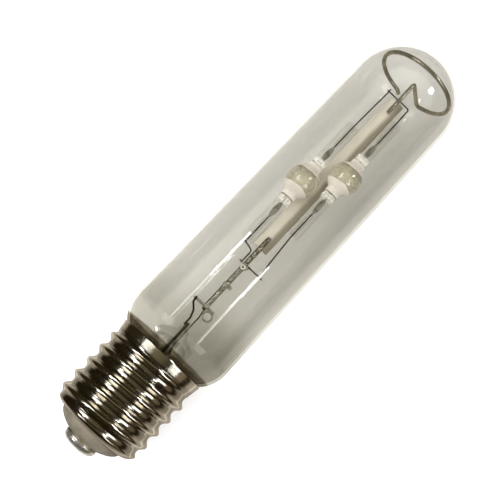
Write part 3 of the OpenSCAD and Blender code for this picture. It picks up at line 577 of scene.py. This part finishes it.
def tubeSection(z, angle, grow=0.0):
    # half width and half thickness are the larger of the ball's and the seal's, with a soft corner between them
    e = np.abs(z)
    edge = np.radians(52)
    r1, l1 = tube["ballR"] * np.cos(edge), tube["ballHalf"] * np.sin(edge)
    ball = tube["ballR"] * np.sqrt(np.clip(1 - np.square(np.minimum(e, l1) / tube["ballHalf"]), 0, 1))
    fall = tube["sealT"] + (r1 - tube["sealT"]) * np.clip(1 - (e - l1) / (tube["coatEnd"] - l1), 0, 1) ** 1.7
    r = np.where(e < l1, ball, fall)
    inSeal = smoothStep(4.5, 7.5, e)
    w = (r ** 9 + (tube["sealW"] * inSeal) ** 9) ** (1 / 9)
    flat = smoothStep(6.5, 11, e)
    # the seal's face is pressed a little thinner where the foil lies, and its ends are fire polished
    pressed = 0.12 * smoothStep(11, 13, e) * (1 - smoothStep(20, 23, e))
    polish = 0.16 * smoothStep(tube["half"] - 0.6, tube["half"], e)
    u, v = section(w + grow - polish, r + grow - pressed - polish, 1 - 0.4 * flat, angle)
    return u, v


def atTube(place, z, u, v):
    l, y = tube["places"][place]
    return fromFrame(np.stack([l + z, y + u, tube["z"] + v], axis=-1))


a = np.linspace(0, 2 * np.pi, tube["cols"], endpoint=False)[None, :]
for place in tube["places"]:
    seal = np.linspace(12, tube["half"], 60)
    z = np.concatenate([-seal[::-1], np.linspace(-11.8, 11.8, 110), seal])[:, None]
    u, v = tubeSection(z, a)
    body = atTube(place, z + 0 * a, u, v)
    # the bore runs in from each end and closes on the foil
    depth = np.array([0.0, 4.0, 8.0, 11.0, 12.2])[:, None]
    boreR = tube["bore"] + np.array([0, 0, 0, -0.05, -0.85])[:, None]
    low = atTube(place, -tube["half"] + depth + 0 * a, boreR * np.cos(a), boreR * np.sin(a))[::-1]
    high = atTube(place, tube["half"] - depth + 0 * a, boreR * np.cos(a), boreR * np.sin(a))
    glass = ringShell(np.concatenate([low, body, high]), poles=("first", "last"), flip=True)
    t = np.linspace(0.06, np.pi - 0.06, 50)[:, None]
    r = tube["voidR"] * np.sin(t)
    void = atTube(place, -tube["voidHalf"] * np.cos(t) + 0 * a, r * np.cos(a), r * np.sin(a))
    hollow = ringShell(void, poles=("first", "last"))
    makeMesh("arcTube" + place.upper(), [glass, hollow],
             "arc_tube_" + place, looks["quartz" + place.upper()])
    # each coat is the tube's own surface grown by its thickness, with a hand-painted edge that wanders a little
    coats = []
    for side in (-1, 1):
        k = np.linspace(0, 1, 40)[:, None]
        wander = 0.14 * np.sin(3 * a + side) + 0.07 * np.sin(7 * a + 2 * side)
        l = side * (tube["window"] + 0.1 + wander * (1 - k) + (tube["coatEnd"] - tube["window"] - 0.35) * k)
        out = atTube(place, l, *tubeSection(l, a, 0.16))
        back = atTube(place, l, *tubeSection(l, a, 0.03))[::-1]
        coats.append(ringShell(np.concatenate([out, back]), closeRows=True, flip=side > 0))
    makeMesh("endCoats" + place.upper(), coats,
             "end_coats_" + place, looks["whiteCoat"])
    # each foil narrows to both ends, where its edges are etched to a feather, and it is a little wavy
    foils = []
    for side in (-1, 1):
        k = np.linspace(0, 1, 48)[:, None]
        half = foil["half"] * np.sin(np.pi * np.clip(k, 0.01, 0.99)) ** 0.45
        thin = foil["t"] * np.sin(np.pi * np.clip(k, 0.03, 0.97)) ** 0.3
        u, v = section(half, thin, 0.5, a)
        z = side * (foil["start"] + (foil["stop"] - foil["start"]) * k) + 0 * a
        rows = atTube(place, z, u, v + foil["wave"] * np.sin(9 * k * np.pi))
        foils.append(ringShell(rows, poles=("first", "last"), flip=side > 0))
    makeMesh("foils" + place.upper(), foils, "foils_" + place, looks["foil"])
print("arc tubes made")

# Wires: each is a path of corners in the inner frame with round bends, as it is bent by hand.
wires = dict(d=0.6, lead=0.8, contact=1.3, bend=1.2, lowCross=93.9, topCross=189.6, topZ=-1.4, beadD=2.0,
             rodR=1.1, frameY=0.3, linkStart=93.1, foilEnd=19.8, seatR=16.9, sides=16, step=0.6,
             pressY=4 * np.cos(np.radians(80)), pressZ=4 * np.sin(np.radians(80)))
lowZ = -wires["rodR"] - wires["beadD"] / 2
back = lowZ - wires["d"]
y, z = wires["pressY"], wires["pressZ"]
sideY, sideZ = -wires["seatR"] * 0.6, -wires["seatR"] * 0.8
aL, aY = tube["places"]["a"]
bL, bY = tube["places"]["b"]
tz = tube["z"]
aLow, bLow = aL - tube["half"] - 1, bL - tube["half"] - 1
aHigh, bHigh = aL + tube["half"] + 1, bL + tube["half"] + 1
linkSide = wires["frameY"] + wires["rodR"] + 0.8
linkZ = lowZ + wires["d"]
# the link wire's last run passes the lead by one wire's thickness
reach = np.hypot(aY - linkSide, tz - linkZ)
rise = np.arctan2(tz - linkZ, aY - linkSide) - np.arcsin(wires["d"] / reach)
linkRun = reach + wires["d"]
paths = dict(
    contact_wire=(wires["contact"], wires["bend"], "dark_wire", "darkWire",
                  [[61.3, y, z], [52.5, y, z], [47.5, y, 3.9], [18, y, 3.9], [13.4, 0, 0], [3.2, 0, 0]]),
    shell_wire=(wires["lead"], wires["bend"], "bright_wire", "brightWire",
                [[58, -y, -z], [52.5, -y, -z], [47.5, -2, -4], [24, -2, -4], [18, -8, -10],
                 [15, sideY, sideZ], [13.4, sideY, sideZ]]),
    strap_wire=(wires["lead"], wires["bend"], "dark_wire", "darkWire",
                [[59.7, y + 1.05, z], [63.3, y + 1.05, z], [66.4, y + 2.25, 3], [68.9, 5.2, 0.55], [71.3, 5.5, 0.55]]),
    return_wire=(wires["d"], wires["bend"] * 0.6, "steel_wire", "steelWire",
                 [[58, -y, -z], [62.9, -y, -z], [66.4, -y, back - 0.5], [71.3, wires["frameY"], back],
                  [90.4, wires["frameY"], back], [93.1, -1.7, back], [94.7, -1.7, back]]),
    link_wire=(wires["d"], wires["bend"], "dark_wire", "darkWire",
               [[wires["linkStart"], linkSide, linkZ], [aLow, linkSide, linkZ],
                [aLow, linkSide + linkRun * np.cos(rise), linkZ + linkRun * np.sin(rise)]]),
    low_cross_wire=(wires["d"], wires["bend"], "dark_wire", "darkWire",
                    [[wires["lowCross"], -8.8, lowZ], [wires["lowCross"], 3.4, lowZ]]),
    base_lead_a=(wires["d"], wires["bend"], "dark_wire", "darkWire",
                 [[aLow - 0.8, aY, tz], [aL - wires["foilEnd"], aY, tz]]),
    base_lead_b=(wires["d"], wires["bend"], "dark_wire", "darkWire",
                 [[bL - wires["foilEnd"], bY, tz], [bLow, bY, tz], [95.9, bY - 1.5, linkZ],
                  [wires["linkStart"], bY - 1.7, linkZ]]),
    dome_lead_a=(wires["d"], wires["bend"], "dark_wire", "darkWire",
                 [[aL + wires["foilEnd"], aY, tz], [aHigh, aY, tz], [187.6, aY - 0.5, -0.8],
                  [190.6, aY - 0.5, -0.8]]),
    dome_lead_b=(wires["d"], wires["bend"], "dark_wire", "darkWire",
                 [[bL + wires["foilEnd"], bY, tz], [bHigh, bY, tz], [wires["topCross"], bY, wires["topZ"]],
                  [wires["topCross"], aY + 0.4, wires["topZ"]]]),
)
for node, (d, bend, slot, look, corners) in paths.items():
    first, *rest = node.split("_")
    name = first + "".join(word.title() for word in rest)
    wire = wireShell(roundedPath(corners, bend), d, wires["sides"], wires["step"])
    makeMesh(name, [wire], node, looks[look])
print("wires made")

# Frame: the rod, the curved strip and the ring wire with its spoke.
rod = dict(start=69.3, stop=108, sides=40, step=1.5)
rodPath = [[rod["start"], wires["frameY"], 0], [rod["stop"], wires["frameY"], 0]]
makeMesh("frameRod", [wireShell(rodPath, 2 * wires["rodR"], rod["sides"], rod["step"])],
         "frame_rod", looks["rodChrome"])

strip = dict(start=102.5, stop=188.8, r=5.0, inset=0.05, t=0.45, half=44.4, top=-1.1)
across = np.radians(np.linspace(-strip["half"], strip["half"], 40))[None, :]
along = np.linspace(strip["start"], strip["stop"], 160)[:, None]
# the rolled strip isn't quite even: its radius waves by a few hundredths
wave = 0.03 * np.sin(along * 0.31) + 0.02 * np.sin(along * 0.83 + 2)


def stripFace(r):
    y = wires["frameY"] + r * np.sin(across)
    z = strip["top"] - strip["r"] + r * np.cos(across)
    return np.stack([along + 0 * across, y, z], axis=-1)


upperR = strip["r"] - strip["inset"] + wave
loop = np.concatenate([stripFace(upperR), stripFace(upperR - strip["t"])[:, ::-1]], axis=1)
makeMesh("frameStrip", [ringShell(fromFrame(loop), poles=("first", "last"), flip=True)],
         "frame_strip", looks["stripSteel"])

ring = dict(l=199.85, wire=1.75, spokeL=199.25, startL=181.4, spokeA=24, endA=14, leadIn=14, lean=np.radians(3.5),
            gap=0.1, rise=11.9, sides=28, step=0.6)
# the wire keeps its gap to the dome also where its lean takes it farthest from the dome's middle
ring["r"] = np.sqrt((bulb["r"] - bulb["wall"] - ring["gap"] - ring["wire"] / 2) ** 2 - ring["rise"] ** 2)


def ringPoint(degrees):
    t = np.radians(degrees)
    lean = ring["r"] * np.sin(t) * np.tan(ring["lean"])
    return np.stack([ring["l"] - lean, ring["r"] * np.cos(t), ring["r"] * np.sin(t)], axis=-1)


startA, endA = 270.0 - ring["spokeA"], 270.0 + ring["endA"] - 360
runZ = strip["top"] + ring["wire"] / 2
firstA, lastA = startA - ring["leadIn"], endA + 8
spoke = [[ring["startL"], wires["frameY"], runZ], [ring["spokeL"], wires["frameY"], runZ]]
start = roundedPath(spoke + [ringPoint(startA), ringPoint(firstA)], 1.5)
turns = np.linspace(firstA, lastA, 90)[1:]
tail = roundedPath([ringPoint(lastA), ringPoint(endA), ringPoint(endA) + np.array([-1.6, -1.8, 0.6])], 1)
ringPath = np.concatenate([start, ringPoint(turns), tail[1:]])
makeMesh("ringSupport", [wireShell(ringPath, ring["wire"], ring["sides"], ring["step"])],
         "ring_support", looks["frameSteel"])
print("frame made")

# The pieces that are simple enough keep their own mesh and get only a surface.
for node, look in dict(contact_plate="plate", cap_cement="cement", strap="getter", getter_ring="getter",
                       insulating_bead="beadGlass", rod_clip="getter", wire_eye="eye", electrodes_a="tungsten",
                       electrodes_b="tungsten").items():
    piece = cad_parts[node]
    piece.data.materials.clear()
    piece.data.materials.append(looks[look])

# Floor, lights and camera.
studio = dict(flatR=1.5, sweepR=0.8, wallTop=2.2, floorGlow=0.42, cols=96)
# the paper lies flat, then sweeps up in a quarter circle to a wall all round
a = np.radians(np.linspace(0, 90, 24))[:, None]
turn = np.linspace(0, 2 * np.pi, studio["cols"], endpoint=False)[None, :]
wallR = studio["flatR"] + studio["sweepR"]
r = np.concatenate([[[0.02], [0.3], [0.8]], studio["flatR"] + studio["sweepR"] * np.sin(a), [[wallR]]])
z = np.concatenate([[[0], [0], [0]], studio["sweepR"] * (1 - np.cos(a)), [[studio["wallTop"]]]])
points = np.stack([r * np.cos(turn), r * np.sin(turn), z + 0 * turn], axis=-1)
faces = gridFaces(len(r), studio["cols"])[:, ::-1]
mesh = bpy.data.meshes.new("floor")
mesh.from_pydata(points.reshape(-1, 3).tolist(), [], faces.tolist() + [list(range(studio["cols"]))])
mesh.shade_smooth()
floor = bpy.data.objects.new("floor", mesh)
floor.location.z = -0.0002
bpy.context.scene.collection.objects.link(floor)
g = Graph("floorPaper")
grain = g.noise(90, 3)
paper = g.principled(Base_Color=g.mix(grain, (0.62, 0.62, 0.62), (0.59, 0.59, 0.59)), Roughness=0.9,
                     Emission_Color=(1.0, 1.0, 1.0), Emission_Strength=studio["floorGlow"])
mesh.materials.append(g.out(paper))
floor.visible_glossy = False

world = bpy.data.worlds.new("studio")
world.use_nodes = True
tree = world.node_tree
where = tree.nodes.new("ShaderNodeTexCoord")
height = tree.nodes.new("ShaderNodeSeparateXYZ")
raised = tree.nodes.new("ShaderNodeMapRange")
raised.inputs[1].default_value = -1
fade = tree.nodes.new("ShaderNodeValToRGB")
# the room by height, from below up: beige table with a bright line, dark brown horizon, dull olive overhead
heights = {-1: (0.5, 0.45, 0.37), -0.85: (0.52, 0.47, 0.39), -0.79: (1.3, 1.2, 1.05), -0.72: (0.52, 0.47, 0.4),
           -0.5: (0.5, 0.45, 0.37), -0.33: (0.03, 0.021, 0.008), 0.35: (0.03, 0.022, 0.009),
           0.78: (0.035, 0.027, 0.014), 0.95: (0.18, 0.155, 0.085)}
while len(fade.color_ramp.elements) < len(heights):
    fade.color_ramp.elements.new(0.5)
for stop, (place, colour) in zip(fade.color_ramp.elements, heights.items()):
    stop.position, stop.color = (place + 1) / 2, (*colour, 1)
tree.links.new(where.outputs["Generated"], height.inputs[0])
tree.links.new(height.outputs[2], raised.inputs[0])
tree.links.new(raised.outputs[0], fade.inputs[0])
tree.links.new(fade.outputs[0], tree.nodes["Background"].inputs[0])
bpy.context.scene.world = world

# each lamp panel hangs at an angle about the lamp's axis, counted from +Y, and faces the axis
panels = [
    dict(name="wideLeft", angle=63, away=0.6, x=-0.118, length=0.176, width=0.27, glow=6, tint=(1.0, 0.99, 0.97)),
    dict(name="coreLeft", angle=63.7, away=0.58, x=0.088, length=0.065, width=0.036, glow=24, tint=(1.0, 1.0, 1.0)),
    dict(name="faintLeft", angle=63.7, away=0.58, x=0.008, length=0.095, width=0.032, glow=6, tint=(1.0, 1.0, 1.0)),
    dict(name="wideRight", angle=146, away=0.6, x=-0.118, length=0.176, width=0.25, glow=6, tint=(1.0, 0.99, 0.97)),
    dict(name="coreRight", angle=135, away=0.58, x=0.083, length=0.045, width=0.034, glow=24, tint=(1.0, 1.0, 1.0)),
    dict(name="faintRight", angle=135, away=0.58, x=0.004, length=0.112, width=0.03, glow=9, tint=(1.0, 1.0, 1.0)),
    dict(name="sparkLeft", angle=49.8, away=0.6, x=-0.6, length=0.16, width=0.1, glow=30, tint=(1.0, 1.0, 1.0)),
    dict(name="sparkRight", angle=134, away=0.6, x=0.5, length=0.16, width=0.1, glow=30, tint=(1.0, 1.0, 1.0)),
    dict(name="warmRight", angle=171, away=0.6, x=0.0, length=0.9, width=0.24, glow=0.2, tint=(1.0, 0.78, 0.5)),
    dict(name="fill", angle=80, away=0.95, x=-0.15, length=1.3, width=1.3, glow=3.0, tint=(1.0, 1.0, 1.0), soft=True),
    dict(name="key", angle=50, away=0.8, x=-0.3, length=0.35, width=0.35, glow=7, tint=(1.0, 1.0, 1.0), soft=True),
]
for panel in panels:
    light = bpy.data.lights.new(panel["name"], "AREA")
    light.shape = "RECTANGLE"
    light.size, light.size_y = panel["length"], panel["width"]
    light.energy = panel["glow"] * np.pi * panel["length"] * panel["width"]
    light.color = panel["tint"]
    holder = bpy.data.objects.new(panel["name"], light)
    # the overhead fill lights the matt surfaces only, as through a polarizer
    holder.visible_glossy = not panel.get("soft")
    t = np.radians(panel["angle"])
    out = Vector((0, np.cos(t), np.sin(t)))
    along = Vector((1, 0, 0))
    side = out.cross(along)
    basis = Matrix((along, side, out)).transposed().to_4x4()
    holder.matrix_world = Matrix.Translation(out * panel["away"] + Vector((panel["x"], 0, 0.023))) @ basis
    bpy.context.scene.collection.objects.link(holder)

# The camera looks down steeply from the cap's side; its axes come from where the lamp lies in the picture.
right = Vector((0.671, -0.741, 0)).normalized()
toward = Vector((-0.2045, -0.185, 0.9613)).normalized()
above = toward.cross(right).normalized()
right = above.cross(toward)
aim = Vector((-0.0039, 0, 0.023)) - right * 0.0041465 - above * 0.0002369
camera = bpy.data.objects.new("camera", bpy.data.cameras.new("camera"))
camera.data.sensor_width = 36
camera.data.lens = 36 * 785 / 500
camera.matrix_world = Matrix.Translation(aim + toward * 0.31) @ Matrix((right, above, toward)).transposed().to_4x4()
bpy.context.scene.collection.objects.link(camera)
bpy.context.scene.camera = camera
bpy.context.scene.view_settings.view_transform = "Standard"
# a look through bulb, arc tube and bulb again crosses more than eight clear faces
bpy.context.scene.cycles.transparent_max_bounces = 32
print("studio made")
